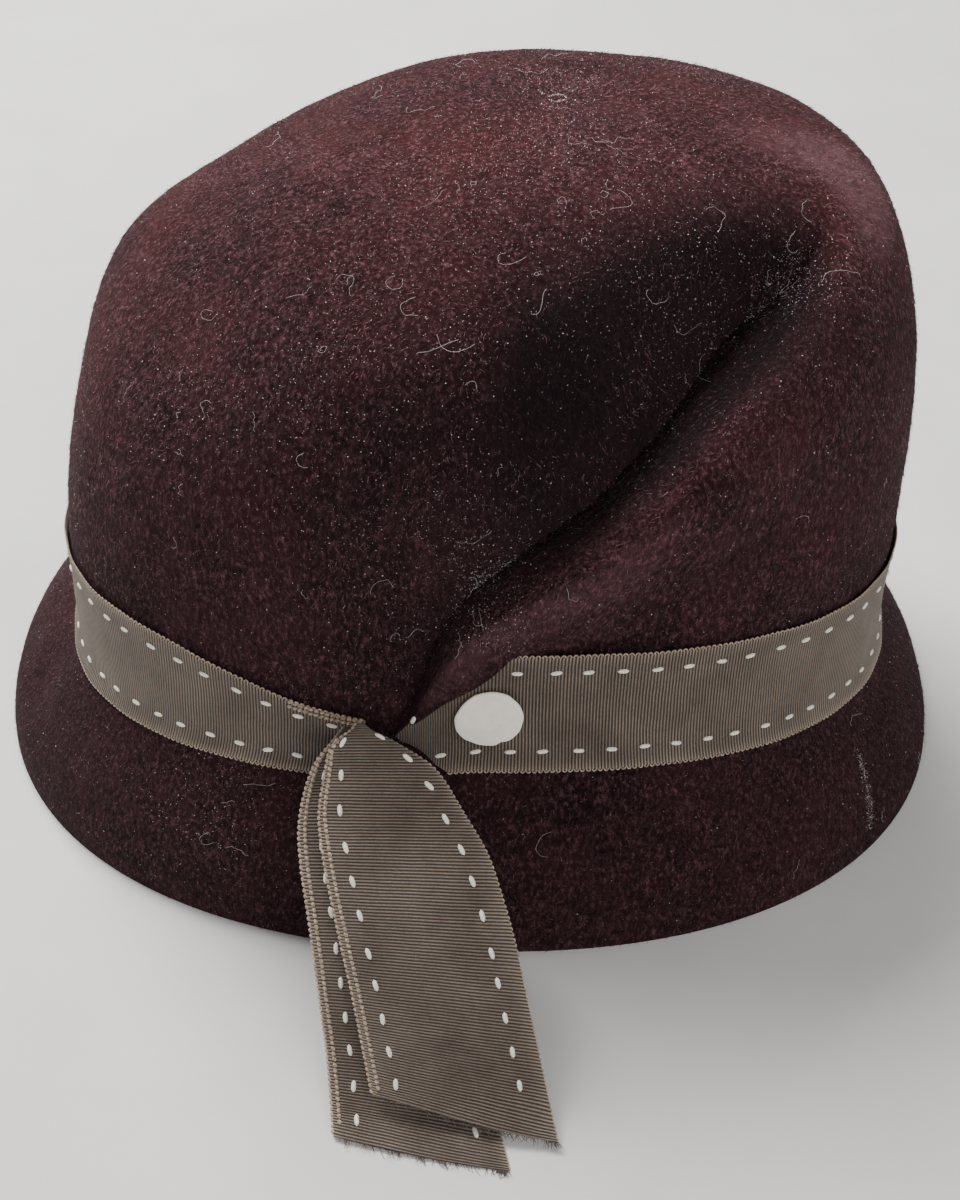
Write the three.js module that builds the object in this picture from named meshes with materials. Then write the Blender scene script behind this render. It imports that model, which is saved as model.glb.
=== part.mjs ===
import * as THREE from 'three';

// felt hood, measured over the brim edge and from the brim edge to the crown top
const hatLength = 258;
const hatWidth = 195;
const hatHeight = 173;
const feltThick = 2.2;
const roundness = 2.25;

// the brim sits a little askew under the crown
const brimSkew = 0.026;

// grosgrain ribbon
const ribbonWidth = 36;
const ribbonThick = 1.0;
const fitGap = 0.3;

// pale disc on the ribbon
const discAcross = 15.6;
const discThick = 0.6;
const discLift = 0.45;
const discSides = 32;
const discRings = 4;
const discTurn = 271.2;
const discRise = 3.95;

// tails of the ribbon
const tailSteps = 22;
const tailAcross = 4;

// grid of the hood
const columns = 80;
const crowding = 0.35;
const crowdTurn = 285;
const rowStep = 0.5;
const bandFoot = 3;
const bandHead = 5;

// sections of the hood from the brim edge up to the crown top, all as shares:
// len and wid of the half length and half width, ends and sides of the height
// (at the two ends and at the long sides), runX and runY of the half length
const sections = [
  { len: 1.000, wid: 1.000, ends: 0.000, sides: 0.000, runX: 0.000, runY: 0.000 },
  { len: 0.985, wid: 0.982, ends: 0.046, sides: 0.069, runX: 0.002, runY: 0.000 },
  { len: 0.926, wid: 0.920, ends: 0.110, sides: 0.179, runX: 0.010, runY: 0.000 },
  { len: 0.842, wid: 0.826, ends: 0.185, sides: 0.289, runX: 0.024, runY: 0.000 },
  { len: 0.828, wid: 0.790, ends: 0.283, sides: 0.382, runX: 0.026, runY: 0.000 },
  { len: 0.824, wid: 0.769, ends: 0.382, sides: 0.474, runX: 0.029, runY: 0.000 },
  { len: 0.811, wid: 0.764, ends: 0.485, sides: 0.565, runX: 0.038, runY: 0.004 },
  { len: 0.788, wid: 0.759, ends: 0.606, sides: 0.656, runX: 0.056, runY: 0.010 },
  { len: 0.748, wid: 0.728, ends: 0.722, sides: 0.748, runX: 0.080, runY: 0.020 },
  { len: 0.676, wid: 0.667, ends: 0.818, sides: 0.828, runX: 0.114, runY: 0.032 },
  { len: 0.578, wid: 0.574, ends: 0.896, sides: 0.900, runX: 0.151, runY: 0.046 },
  { len: 0.440, wid: 0.441, ends: 0.952, sides: 0.952, runX: 0.168, runY: 0.058 },
  { len: 0.276, wid: 0.277, ends: 0.985, sides: 0.985, runX: 0.168, runY: 0.066 },
  { len: 0.120, wid: 0.122, ends: 0.998, sides: 0.998, runX: 0.162, runY: 0.070 },
  { len: 0.000, wid: 0.000, ends: 1.000, sides: 1.000, runX: 0.160, runY: 0.072 },
];
const topRow = sections.length - 1;

// the long tuck of the hood, from the knot up over the crown: turn in degrees,
// rise in sections, depth of the crease, height of the ridge and how far from
// the crease the ridge stands, then the reach of the hollow on either side,
// all as shares of the height
const tuck = [
  { turn: 259.5, rise: 4.75, depth: 0.009, ridge: 0.012, stand: 0.023, above: 0.046, below: 0.040 },
  { turn: 264.0, rise: 5.25, depth: 0.023, ridge: 0.020, stand: 0.032, above: 0.069, below: 0.046 },
  { turn: 270.0, rise: 5.75, depth: 0.038, ridge: 0.026, stand: 0.038, above: 0.092, below: 0.049 },
  { turn: 276.0, rise: 6.35, depth: 0.049, ridge: 0.029, stand: 0.040, above: 0.116, below: 0.055 },
  { turn: 283.0, rise: 7.10, depth: 0.061, ridge: 0.030, stand: 0.046, above: 0.139, below: 0.064 },
  { turn: 290.0, rise: 7.90, depth: 0.069, ridge: 0.029, stand: 0.052, above: 0.162, below: 0.075 },
  { turn: 298.0, rise: 8.80, depth: 0.075, ridge: 0.025, stand: 0.061, above: 0.162, below: 0.087 },
  { turn: 307.0, rise: 9.50, depth: 0.061, ridge: 0.021, stand: 0.069, above: 0.139, below: 0.098 },
  { turn: 317.0, rise: 10.05, depth: 0.032, ridge: 0.014, stand: 0.075, above: 0.116, below: 0.104 },
  { turn: 326.0, rise: 10.40, depth: 0.010, ridge: 0.006, stand: 0.075, above: 0.104, below: 0.104 },
  { turn: 333.0, rise: 10.60, depth: 0.000, ridge: 0.000, stand: 0.075, above: 0.092, below: 0.092 },
];
const tuckFade = 0.06;
const tuckSpan = 0.36;
const tuckSteps = 8;
const tuckBlend = 0.01;
const hollowPower = 1.4;
const lipPower = 0.9;
const underDip = 0.35;

// soft dents: turn in degrees, rise in sections, reach and depth as shares of the height
const dents = [
  { turn: 244, rise: 7.6, reach: 0.16, depth: -0.008 },
  { turn: 258, rise: 6.9, reach: 0.15, depth: 0.016 },
  { turn: 222, rise: 8.6, reach: 0.18, depth: 0.010 },
  { turn: 196, rise: 2.0, reach: 0.05, depth: 0.010 },
  { turn: 60, rise: 8.4, reach: 0.22, depth: 0.014 },
  { turn: 130, rise: 7.0, reach: 0.20, depth: 0.010 },
  { turn: 303, rise: 9.6, reach: 0.13, depth: 0.046 },
  { turn: 312, rise: 10.2, reach: 0.09, depth: 0.020 },
  { turn: 168, rise: 8.4, reach: 0.14, depth: -0.016 },
  { turn: 162, rise: 10.6, reach: 0.16, depth: 0.024 },
  { turn: 335, rise: 8.8, reach: 0.11, depth: 0.010 },
];

// dip of the ribbon line at the knot: the top edge is pulled down further
const knotTurn = 259;
const knotDip = 0.129;
const knotBefore = 24;
const knotAfter = 5.5;
const knotClimb = 1.5;

// run of the two tails from the knot to the cut end, as shares: out of the half
// width (towards -Y), up of the height, left and right edges of the ribbon width
const frontRun = [
  { out: 0.722, up: 0.3560, left: -0.66, right: -0.50 },
  { out: 0.842, up: 0.3500, left: -0.82, right: -0.30 },
  { out: 0.894, up: 0.3285, left: -0.88, right: -0.14 },
  { out: 0.965, up: 0.3015, left: -0.91, right: 0.00 },
  { out: 1.042, up: 0.2765, left: -0.88, right: 0.14 },
  { out: 1.114, up: 0.2415, left: -0.83, right: 0.23 },
  { out: 1.186, up: 0.1985, left: -0.77, right: 0.31 },
  { out: 1.262, up: 0.1445, left: -0.70, right: 0.38 },
  { out: 1.334, up: 0.0875, left: -0.64, right: 0.45 },
  { out: 1.410, up: 0.0345, left: -0.58, right: 0.52 },
  { out: 1.500, up: 0.0040, left: -0.52, right: 0.58 },
];
const backRun = [
  { out: 0.750, up: 0.3400, left: -0.86, right: -0.64 },
  { out: 0.850, up: 0.3250, left: -0.98, right: -0.40 },
  { out: 0.902, up: 0.3000, left: -1.03, right: -0.22 },
  { out: 0.970, up: 0.2740, left: -1.05, right: -0.10 },
  { out: 1.044, up: 0.2470, left: -1.03, right: -0.03 },
  { out: 1.116, up: 0.2120, left: -0.99, right: 0.01 },
  { out: 1.188, up: 0.1690, left: -0.95, right: 0.05 },
  { out: 1.264, up: 0.1150, left: -0.91, right: 0.09 },
  { out: 1.340, up: 0.0580, left: -0.87, right: 0.13 },
  { out: 1.434, up: 0.0130, left: -0.84, right: 0.19 },
  { out: 1.574, up: 0.0000, left: -0.80, right: 0.28 },
];
const frontSlant = 0.10;
const backSlant = 0.05;

const radians = Math.PI / 180;

function blend(a, b, c, d, t) {
  const slopeB = (c - a) / 2;
  const slopeC = (d - b) / 2;
  const t2 = t * t;
  const t3 = t2 * t;
  return (2 * t3 - 3 * t2 + 1) * b + (t3 - 2 * t2 + t) * slopeB
    + (3 * t2 - 2 * t3) * c + (t3 - t2) * slopeC;
}

function readTable(rows, place, name) {
  const last = rows.length - 1;
  const k = Math.min(Math.max(Math.floor(place), 0), last - 1);
  const at = (i) => rows[Math.min(Math.max(i, 0), last)][name];
  return blend(at(k - 1), at(k), at(k + 1), at(k + 2), place - k);
}

function bareSkin(turn, rise) {
  const angle = turn * radians;
  const c = Math.cos(angle);
  const s = Math.sin(angle);
  const power = roundness;
  const reach = 1 / Math.pow(Math.pow(Math.abs(c), power) + Math.pow(Math.abs(s), power), 1 / power);
  const halfLength = hatLength / 2;
  const len = Math.max(readTable(sections, rise, 'len'), 0) * halfLength;
  const wid = Math.max(readTable(sections, rise, 'wid'), 0) * hatWidth / 2;
  const ends = readTable(sections, rise, 'ends');
  const sides = readTable(sections, rise, 'sides');
  const away = (((turn - knotTurn) % 360) + 540) % 360 - 180;
  const knotSide = away < 0 ? knotBefore : knotAfter;
  const beside = Math.exp(-Math.pow(away / knotSide, 2));
  const near = beside * Math.exp(-Math.pow((rise - bandHead - 0.1) / knotClimb, 2));
  const up = (ends + (sides - ends) * s * s - knotDip * near) * hatHeight;
  const skew = brimSkew * Math.max(1 - rise / bandFoot, 0);
  return new THREE.Vector3(
    c * reach * len + readTable(sections, rise, 'runX') * halfLength,
    s * reach * wid + readTable(sections, rise, 'runY') * halfLength - skew * c * reach * len,
    up,
  );
}

function bareNormal(turn, rise) {
  if (rise > topRow - 0.3) {
    return new THREE.Vector3(0, 0, 1);
  }
  const step = 0.02;
  const along = bareSkin(turn + 1, rise).sub(bareSkin(turn - 1, rise));
  const low = Math.max(rise - step, 0);
  const up = bareSkin(turn, rise + step).sub(bareSkin(turn, low));
  return along.cross(up).normalize();
}

// points along the crease with the way it runs
const tuckLine = [];
for (let i = 0; i <= (tuck.length - 1) * tuckSteps; i += 1) {
  const place = i / tuckSteps;
  const at = (where) => bareSkin(readTable(tuck, where, 'turn'), readTable(tuck, where, 'rise'));
  const before = at(Math.max(place - 0.1, 0));
  const after = at(Math.min(place + 0.1, tuck.length - 1));
  tuckLine.push({ point: at(place), way: after.sub(before).normalize(), place });
}

// push of the tuck along the hood's normal: a hollow above the crease, a rolled
// ridge beyond it and a slight dip under the ridge
function tuckDepth(point, normal) {
  const gaps = tuckLine.map((spot) => point.clone().sub(spot.point));
  const nearest = Math.min(...gaps.map((gap) => gap.length()));
  let weight = 0;
  let side = 0;
  let place = 0;
  let over = 0;
  tuckLine.forEach((spot, i) => {
    const share = Math.exp((nearest - gaps[i].length()) / (tuckBlend * hatHeight));
    const across = new THREE.Vector3().crossVectors(spot.way, normal).normalize();
    const ahead = gaps[i].dot(spot.way);
    weight += share;
    side += share * gaps[i].dot(across);
    place += share * spot.place;
    if (i === 0) {
      over += share * Math.max(-ahead, 0);
    }
    if (i === tuckLine.length - 1) {
      over += share * Math.max(ahead, 0);
    }
  });
  side /= weight * hatHeight;
  place /= weight;
  const read = (name) => Math.max(readTable(tuck, place, name), 0);
  const depth = read('depth');
  const ridge = read('ridge');
  const stand = read('stand');
  const below = read('below');
  const past = Math.pow(over / weight / (tuckFade * hatHeight), 2);
  const far = Math.pow(nearest / (tuckSpan * hatHeight), 4);
  const fade = Math.exp(-past - far);
  let push = 0;
  if (side < 0) {
    push = -depth * Math.exp(-Math.pow(-side / read('above'), hollowPower));
  } else if (side < stand) {
    push = -depth + (depth + ridge) * Math.pow(Math.sin(Math.PI / 2 * side / stand), lipPower);
  } else {
    push = ridge * Math.exp(-Math.pow((side - stand) / below, 2));
  }
  const dip = side > stand ? underDip * ridge : 0;
  push -= dip * Math.exp(-Math.pow((side - stand - 1.9 * below) / below, 2));
  return push * fade * hatHeight;
}

const dentSpots = dents.map((row) => bareSkin(row.turn, row.rise));

function skin(turn, rise) {
  const point = bareSkin(turn, rise);
  const normal = bareNormal(turn, rise);
  const calm = Math.min(Math.max((rise - 0.2) / 1.4, 0), 1);
  let push = tuckDepth(point, normal);
  dents.forEach((row, i) => {
    const far = point.distanceTo(dentSpots[i]) / (row.reach * hatHeight);
    push -= row.depth * hatHeight * Math.exp(-far * far);
  });
  return point.addScaledVector(normal, push * calm);
}

// grid of points on the hood, one list of columns per row, the top left as one point
function columnTurn(k) {
  const even = 360 * k / columns;
  return even + crowding / radians * Math.sin((even - crowdTurn + 180) * radians);
}

const rises = [];
for (let rise = 0; rise < topRow - 0.01; rise += rowStep) {
  rises.push(rise);
}
const outer = rises.map((rise) => {
  const ring = [];
  for (let k = 0; k < columns; k += 1) {
    ring.push(skin(columnTurn(k), rise));
  }
  return ring;
});
const summit = skin(0, topRow);

function ringNormals(rows) {
  return rows.map((ring, j) => ring.map((point, k) => {
    const next = ring[(k + 1) % columns];
    const prior = ring[(k + columns - 1) % columns];
    const above = j + 1 < rows.length ? rows[j + 1][k] : summit;
    const under = j > 0 ? rows[j - 1][k] : point;
    return next.clone().sub(prior).cross(above.clone().sub(under)).normalize();
  }));
}
const normals = ringNormals(outer);

function shifted(j, k, distance) {
  return outer[j][k].clone().addScaledVector(normals[j][k], distance);
}

function closedMesh(name, points, faces, material) {
  const geometry = new THREE.BufferGeometry();
  const flat = new Float32Array(points.length * 3);
  points.forEach((point, i) => point.toArray(flat, i * 3));
  geometry.setAttribute('position', new THREE.BufferAttribute(flat, 3));
  geometry.setIndex(faces.flat());
  geometry.computeVertexNormals();
  const mesh = new THREE.Mesh(geometry, material);
  mesh.name = name;
  return mesh;
}

// felt hood: outer skin, inner skin and the flat brim edge between them
function feltBody() {
  const points = [];
  const faces = [];
  const rows = outer.length;
  outer.forEach((ring) => points.push(...ring));
  const outerTop = points.length;
  points.push(summit);
  const innerStart = points.length;
  outer.forEach((ring, j) => ring.forEach((point, k) => {
    const inside = shifted(j, k, -feltThick);
    if (j === 0) {
      const flatWay = new THREE.Vector3(normals[0][k].x, normals[0][k].y, 0);
      const share = flatWay.length();
      inside.copy(point).addScaledVector(flatWay, -feltThick / (share * share));
      inside.z = 0;
    }
    points.push(inside);
  }));
  const innerTop = points.length;
  points.push(summit.clone().setZ(summit.z - feltThick));
  for (let j = 0; j < rows; j += 1) {
    for (let k = 0; k < columns; k += 1) {
      const n = (k + 1) % columns;
      const a = j * columns + k;
      const b = j * columns + n;
      const lastRow = j === rows - 1;
      const c = lastRow ? outerTop : b + columns;
      const d = lastRow ? outerTop : a + columns;
      faces.push([a, b, c]);
      faces.push([innerStart + a, lastRow ? innerTop : innerStart + c, innerStart + b]);
      if (!lastRow) {
        faces.push([a, c, d]);
        faces.push([innerStart + a, innerStart + d, innerStart + c]);
      }
    }
  }
  for (let k = 0; k < columns; k += 1) {
    const n = (k + 1) % columns;
    faces.push([k, innerStart + k, innerStart + n]);
    faces.push([k, innerStart + n, n]);
  }
  return closedMesh('felt_body', points, faces, new THREE.MeshStandardMaterial({
    color: 0x38211f,
    roughness: 0.95,
  }));
}

// closed strip from a list of cross rows: each row gives points of its two faces
function strip(name, front, back, material) {
  const points = [];
  const faces = [];
  const rows = front.length;
  const cells = front[0].length;
  front.forEach((row) => points.push(...row));
  back.forEach((row) => points.push(...row));
  const half = rows * cells;
  const at = (i, j) => i * cells + j;
  const quad = (a, b, c, d) => {
    faces.push([a, b, c]);
    faces.push([a, c, d]);
  };
  for (let i = 0; i < rows - 1; i += 1) {
    for (let j = 0; j < cells - 1; j += 1) {
      quad(at(i, j), at(i + 1, j), at(i + 1, j + 1), at(i, j + 1));
      quad(half + at(i, j), half + at(i, j + 1), half + at(i + 1, j + 1), half + at(i + 1, j));
    }
    const last = cells - 1;
    quad(at(i, 0), half + at(i, 0), half + at(i + 1, 0), at(i + 1, 0));
    quad(at(i, last), at(i + 1, last), half + at(i + 1, last), half + at(i, last));
  }
  const end = rows - 1;
  for (let j = 0; j < cells - 1; j += 1) {
    quad(at(0, j), at(0, j + 1), half + at(0, j + 1), half + at(0, j));
    quad(at(end, j), half + at(end, j), half + at(end, j + 1), at(end, j + 1));
  }
  return closedMesh(name, points, faces, material);
}

const ribbonCloth = () => new THREE.MeshStandardMaterial({ color: 0x5d5247, roughness: 0.8 });

// ribbon round the foot of the crown, open for one column at the knot
function ribbonBand() {
  const first = rises.indexOf(bandFoot);
  const last = rises.indexOf(bandHead);
  let start = 0;
  for (let k = 0; k < columns; k += 1) {
    if (columnTurn(k) < knotTurn + 3) {
      start = k + 1;
    }
  }
  const front = [];
  const back = [];
  for (let i = 0; i < columns - 1; i += 1) {
    const k = (start + i) % columns;
    const over = [];
    const under = [];
    for (let j = first; j <= last; j += 1) {
      over.push(shifted(j, k, fitGap + ribbonThick));
      under.push(shifted(j, k, fitGap));
    }
    front.push(over);
    back.push(under);
  }
  return strip('ribbon_band', front, back, ribbonCloth());
}

// tail of the ribbon: a closed strip along its run, its end cut on a slant
function tail(name, run, slant, crown, over, rest) {
  const middle = (run.length - 1) / tailSteps;
  const edge = (place, name2) => readTable(run, place, name2);
  const spot = (place, share) => {
    const out = edge(place, 'out') * hatWidth / 2;
    const up = edge(place, 'up') * hatHeight;
    const left = edge(place, 'left') * ribbonWidth;
    const right = edge(place, 'right') * ribbonWidth;
    const calm = Math.min(up / (0.1 * hatHeight), 1);
    const bow = crown * ribbonWidth * (1 - Math.pow(2 * share - 1, 2)) * calm;
    const across = left + (right - left) * share;
    return new THREE.Vector3(across, -out - over - bow * 0.6, up + rest + bow * 0.8);
  };
  const front = [];
  const back = [];
  for (let i = 0; i <= tailSteps; i += 1) {
    const faceOver = [];
    const faceUnder = [];
    for (let j = 0; j <= tailAcross; j += 1) {
      const share = j / tailAcross;
      const end = run.length - 1;
      const cut = 1 - slant * (1 - share) * Math.pow(i / tailSteps, 3);
      const place = Math.min(i * middle * cut, end);
      const here = spot(place, share);
      const ahead = spot(Math.min(place + 0.05, end), share);
      const behind = spot(Math.max(place - 0.05, 0), share);
      const beside = spot(place, Math.min(share + 0.02, 1)).sub(spot(place, Math.max(share - 0.02, 0)));
      const normal = beside.cross(behind.sub(ahead)).normalize();
      faceUnder.push(here);
      faceOver.push(here.clone().addScaledVector(normal, ribbonThick));
    }
    front.push(faceOver);
    back.push(faceUnder);
  }
  return strip(name, front, back, ribbonCloth());
}

// normal of the hood with its tuck and dents
function skinNormal(turn, rise) {
  const along = skin(turn + 2, rise).sub(skin(turn - 2, rise));
  const climb = skin(turn, rise + 0.3).sub(skin(turn, rise - 0.3));
  return along.cross(climb).normalize();
}

// pale disc, bent to the ribbon it stands just clear of
function bandDisc() {
  const perTurn = skin(discTurn + 1, discRise).distanceTo(skin(discTurn - 1, discRise)) / 2;
  const perRise = skin(discTurn, discRise + 0.2).distanceTo(skin(discTurn, discRise - 0.2)) / 0.4;
  const lift = fitGap + ribbonThick + discLift;
  const points = [];
  const faces = [];
  const layers = [lift + discThick, lift];
  const size = 1 + discRings * discSides;
  layers.forEach((height) => {
    for (let i = 0; i < size; i += 1) {
      const ring = i === 0 ? 0 : 1 + Math.floor((i - 1) / discSides);
      const angle = 2 * Math.PI * ((i - 1) % discSides) / discSides;
      const radius = discAcross / 2 * ring / discRings;
      const turn = discTurn + radius * Math.cos(angle) / perTurn;
      const rise = discRise + radius * Math.sin(angle) / perRise;
      points.push(skin(turn, rise).addScaledVector(skinNormal(turn, rise), height));
    }
  });
  for (let k = 0; k < discSides; k += 1) {
    const n = (k + 1) % discSides;
    faces.push([0, 1 + k, 1 + n], [size, size + 1 + n, size + 1 + k]);
    for (let ring = 1; ring < discRings; ring += 1) {
      const a = 1 + (ring - 1) * discSides;
      const b = a + discSides;
      faces.push([a + k, b + k, b + n], [a + k, b + n, a + n]);
      faces.push([size + a + k, size + b + n, size + b + k], [size + a + k, size + a + n, size + b + n]);
    }
    const rim = 1 + (discRings - 1) * discSides;
    faces.push([rim + k, size + rim + k, size + rim + n], [rim + k, size + rim + n, rim + n]);
  }
  return closedMesh('band_disc', points, faces, new THREE.MeshStandardMaterial({
    color: 0xd8d2c6,
    roughness: 0.7,
  }));
}

const group = new THREE.Group();
group.name = 'cloche_hat';
group.add(feltBody());
group.add(ribbonBand());
const layer = ribbonThick + fitGap;
group.add(tail('tail_front', frontRun, frontSlant, 0.05, fitGap + 2 * layer, layer));
group.add(tail('tail_back', backRun, backSlant, 0.03, fitGap + layer, 0));
group.add(bandDisc());

// the origin is the middle of the underside of everything
const reachBox = new THREE.Box3().setFromObject(group);
const middle = reachBox.getCenter(new THREE.Vector3());
group.children.forEach((mesh) => {
  mesh.geometry.translate(-middle.x, -middle.y, -reachBox.min.z);
});

export default group;
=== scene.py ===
import math

import bpy
import numpy as np
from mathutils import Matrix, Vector


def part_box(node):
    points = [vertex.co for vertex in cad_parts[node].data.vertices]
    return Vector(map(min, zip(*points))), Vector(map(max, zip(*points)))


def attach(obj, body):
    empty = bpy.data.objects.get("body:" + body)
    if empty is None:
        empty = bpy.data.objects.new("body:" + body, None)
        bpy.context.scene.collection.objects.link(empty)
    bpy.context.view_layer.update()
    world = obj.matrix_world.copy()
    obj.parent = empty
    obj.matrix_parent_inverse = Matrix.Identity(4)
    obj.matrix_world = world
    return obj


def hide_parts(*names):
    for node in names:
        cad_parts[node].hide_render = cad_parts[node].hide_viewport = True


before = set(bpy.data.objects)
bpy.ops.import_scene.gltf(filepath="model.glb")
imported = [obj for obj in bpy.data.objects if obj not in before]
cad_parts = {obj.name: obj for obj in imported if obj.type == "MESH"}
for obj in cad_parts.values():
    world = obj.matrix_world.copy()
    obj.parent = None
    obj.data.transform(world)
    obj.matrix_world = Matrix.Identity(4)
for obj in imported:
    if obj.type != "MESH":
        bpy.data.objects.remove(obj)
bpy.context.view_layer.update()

# the hat is worked out in millimetres about the middle of its own brim
feltLow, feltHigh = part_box("felt_body")
hatMiddle = np.array([0.0, (feltLow[1] + feltHigh[1]) / 2, 0.0])


def toScene(points):
    return np.asarray(points) / 1000 + hatMiddle


# shader sums

class Wire:
    # a node's output that can stand in a plain sum
    def __init__(self, finish, socket):
        self.finish = finish
        self.socket = socket

    def join(self, operation, other):
        return self.finish.add("ShaderNodeMath", {"operation": operation}, {0: self, 1: other})

    def __add__(self, other):
        return self.join("ADD", other)

    def __sub__(self, other):
        return self.join("SUBTRACT", other)

    def __mul__(self, other):
        return self.join("MULTIPLY", other)

    def __truediv__(self, other):
        return self.join("DIVIDE", other)

    def __pow__(self, other):
        return self.join("POWER", other)

    def sine(self):
        return self.join("SINE", 0.0)

    def size(self):
        return self.join("ABSOLUTE", 0.0)


class Finish:
    # one material, its principled shader and the nodes that feed it
    def __init__(self, name, settings):
        self.material = bpy.data.materials.new(name)
        self.material.use_nodes = True
        self.tree = self.material.node_tree
        self.shader = self.tree.nodes["Principled BSDF"]
        for label, value in settings.items():
            self.shader.inputs[label].default_value = value

    def add(self, kind, settings=None, sockets=None, output=0):
        node = self.tree.nodes.new(kind)
        for name, value in (settings or {}).items():
            setattr(node, name, value)
        for name, value in (sockets or {}).items():
            self.feed(node.inputs[name], value)
        return Wire(self, node.outputs[output])

    def feed(self, socket, value):
        if isinstance(value, Wire):
            self.tree.links.new(value.socket, socket)
        elif socket.type == "RGBA" and len(value) == 3:
            socket.default_value = (*value, 1.0)
        else:
            socket.default_value = value

    def shade(self, label, value):
        self.feed(self.shader.inputs[label], value)

    def place(self):
        return self.add("ShaderNodeTexCoord", output=3)

    def cloth(self):
        return self.add("ShaderNodeUVMap", {"uv_map": "cloth"})

    def part(self, wire, axis):
        return self.add("ShaderNodeSeparateXYZ", None, {0: wire}, axis)

    def noise(self, place, size, detail=3.0, rough=0.55, stretch=None):
        if stretch:
            place = self.add("ShaderNodeMapping", None, {"Vector": place, "Scale": stretch})
        sockets = {"Vector": place, "Scale": 1000 / size, "Detail": detail, "Roughness": rough}
        return self.add("ShaderNodeTexNoise", None, sockets)

    def mix(self, share, first, second):
        settings = {"data_type": "RGBA", "clamp_factor": True}
        return self.add("ShaderNodeMix", settings, {0: share, 6: first, 7: second}, 2)

    def span(self, wire, low, high, start=0.0, end=1.0):
        sockets = {"Value": wire, "From Min": low, "From Max": high, "To Min": start, "To Max": end}
        return self.add("ShaderNodeMapRange", {"clamp": True}, sockets)

    def bump(self, height, distance, strength=1.0):
        sockets = {"Height": height, "Distance": distance * 0.001, "Strength": strength}
        self.shade("Normal", self.add("ShaderNodeBump", None, sockets))


def meshPiece(name, points, faces, finish, node=None, smooth=True, uv=None):
    mesh = bpy.data.meshes.new(name)
    mesh.from_pydata(toScene(points).tolist(), [], faces)
    if uv is not None:
        layer = mesh.uv_layers.new(name="cloth")
        corner = np.empty(len(mesh.loops), dtype=np.int32)
        mesh.loops.foreach_get("vertex_index", corner)
        layer.data.foreach_set("uv", np.asarray(uv)[corner].ravel())
    if smooth:
        mesh.polygons.foreach_set("use_smooth", [True] * len(mesh.polygons))
    mesh.materials.append(finish.material)
    mesh.update()
    piece = bpy.data.objects.new(name, mesh)
    bpy.context.scene.collection.objects.link(piece)
    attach(piece, "root")
    if node:
        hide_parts(node)
    return piece


def slivers(name, corners, finish):
    # small closed solids of four corners each
    sides = np.array([(0, 1, 2), (0, 3, 1), (1, 3, 2), (2, 3, 0)])
    faces = np.arange(len(corners))[:, None, None] * 4 + sides
    meshPiece(name, corners.reshape(-1, 3), faces.reshape(-1, 3).tolist(), finish, smooth=False)


def gridFaces(rows, columns, start=0, closed=False, flip=False):
    faces = []
    wide = columns if closed else columns - 1
    for j in range(rows - 1):
        for k in range(wide):
            n = (k + 1) % columns
            a, b = start + j * columns + k, start + j * columns + n
            quad = (a, b, b + columns, a + columns)
            faces.append(quad[::-1] if flip else quad)
    return faces


# form of the hood: millimetres, turns in degrees, rises in rows of the section table,
# and bowls are the rows of dents that get painted shade as the tuck's hollow does

hood = {
    "length": 258.0, "width": 195.0, "height": 173.0, "thick": 2.2, "roundness": 2.25,
    "brimSkew": 0.026, "ridgeFoot": 4.05, "ridgeRun": 0.75, "footRise": 0.055, "topGap": 0.12,
    "innerTopGap": 0.4, "bowls": slice(6, 8), "bowlWiden": 1.65, "foldFull": 12.0,
    "bandFoot": 3.0, "bandHead": 5.0, "columns": 344, "crowding": 0.35, "crowdTurn": 285.0,
    "outerRows": 190, "innerRows": 46, "edgeSteps": 6, "edgeLow": 0.05, "ripple": 0.40,
}
# steps in turn and rise that the surface's directions are read over
probe = {"turn": 1, "rise": 0.02, "summit": 0.3, "skinTurn": 0.6, "skinRise": 0.05}
# soft unevenness of the felt, calmed at the brim's edge and under the ribbon;
# slow and quick each give the wave lengths and a seed
uneven = {
    "calmFrom": 0.2, "calmRun": 1.4, "ribbonRise": 4.0, "ribbonReach": 1.3, "ribbonCalm": 0.85,
    "slow": ((34, 27, 41, 22, 30, 48), 5), "quick": ((9, 12, 7, 11, 8, 14), 8),
    "quickShare": 0.35,
}

sectionNames = ("len", "wid", "ends", "sides", "runX", "runY")
sections = np.array([
    (1.000, 1.000, 0.000, 0.000, 0.000, 0.000),
    (0.985, 0.982, 0.046, 0.069, 0.002, 0.000),
    (0.926, 0.920, 0.110, 0.179, 0.010, 0.000),
    (0.842, 0.826, 0.185, 0.289, 0.024, 0.000),
    (0.828, 0.790, 0.283, 0.382, 0.026, 0.000),
    (0.824, 0.769, 0.382, 0.474, 0.029, 0.000),
    (0.811, 0.764, 0.485, 0.565, 0.038, 0.004),
    (0.788, 0.759, 0.606, 0.656, 0.056, 0.010),
    (0.748, 0.728, 0.722, 0.748, 0.080, 0.020),
    (0.676, 0.667, 0.818, 0.828, 0.114, 0.032),
    (0.578, 0.574, 0.896, 0.900, 0.151, 0.046),
    (0.440, 0.441, 0.952, 0.952, 0.168, 0.058),
    (0.276, 0.277, 0.985, 0.985, 0.168, 0.066),
    (0.120, 0.122, 0.998, 0.998, 0.162, 0.070),
    (0.000, 0.000, 1.000, 1.000, 0.160, 0.072),
])
topRow = len(sections) - 1

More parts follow.
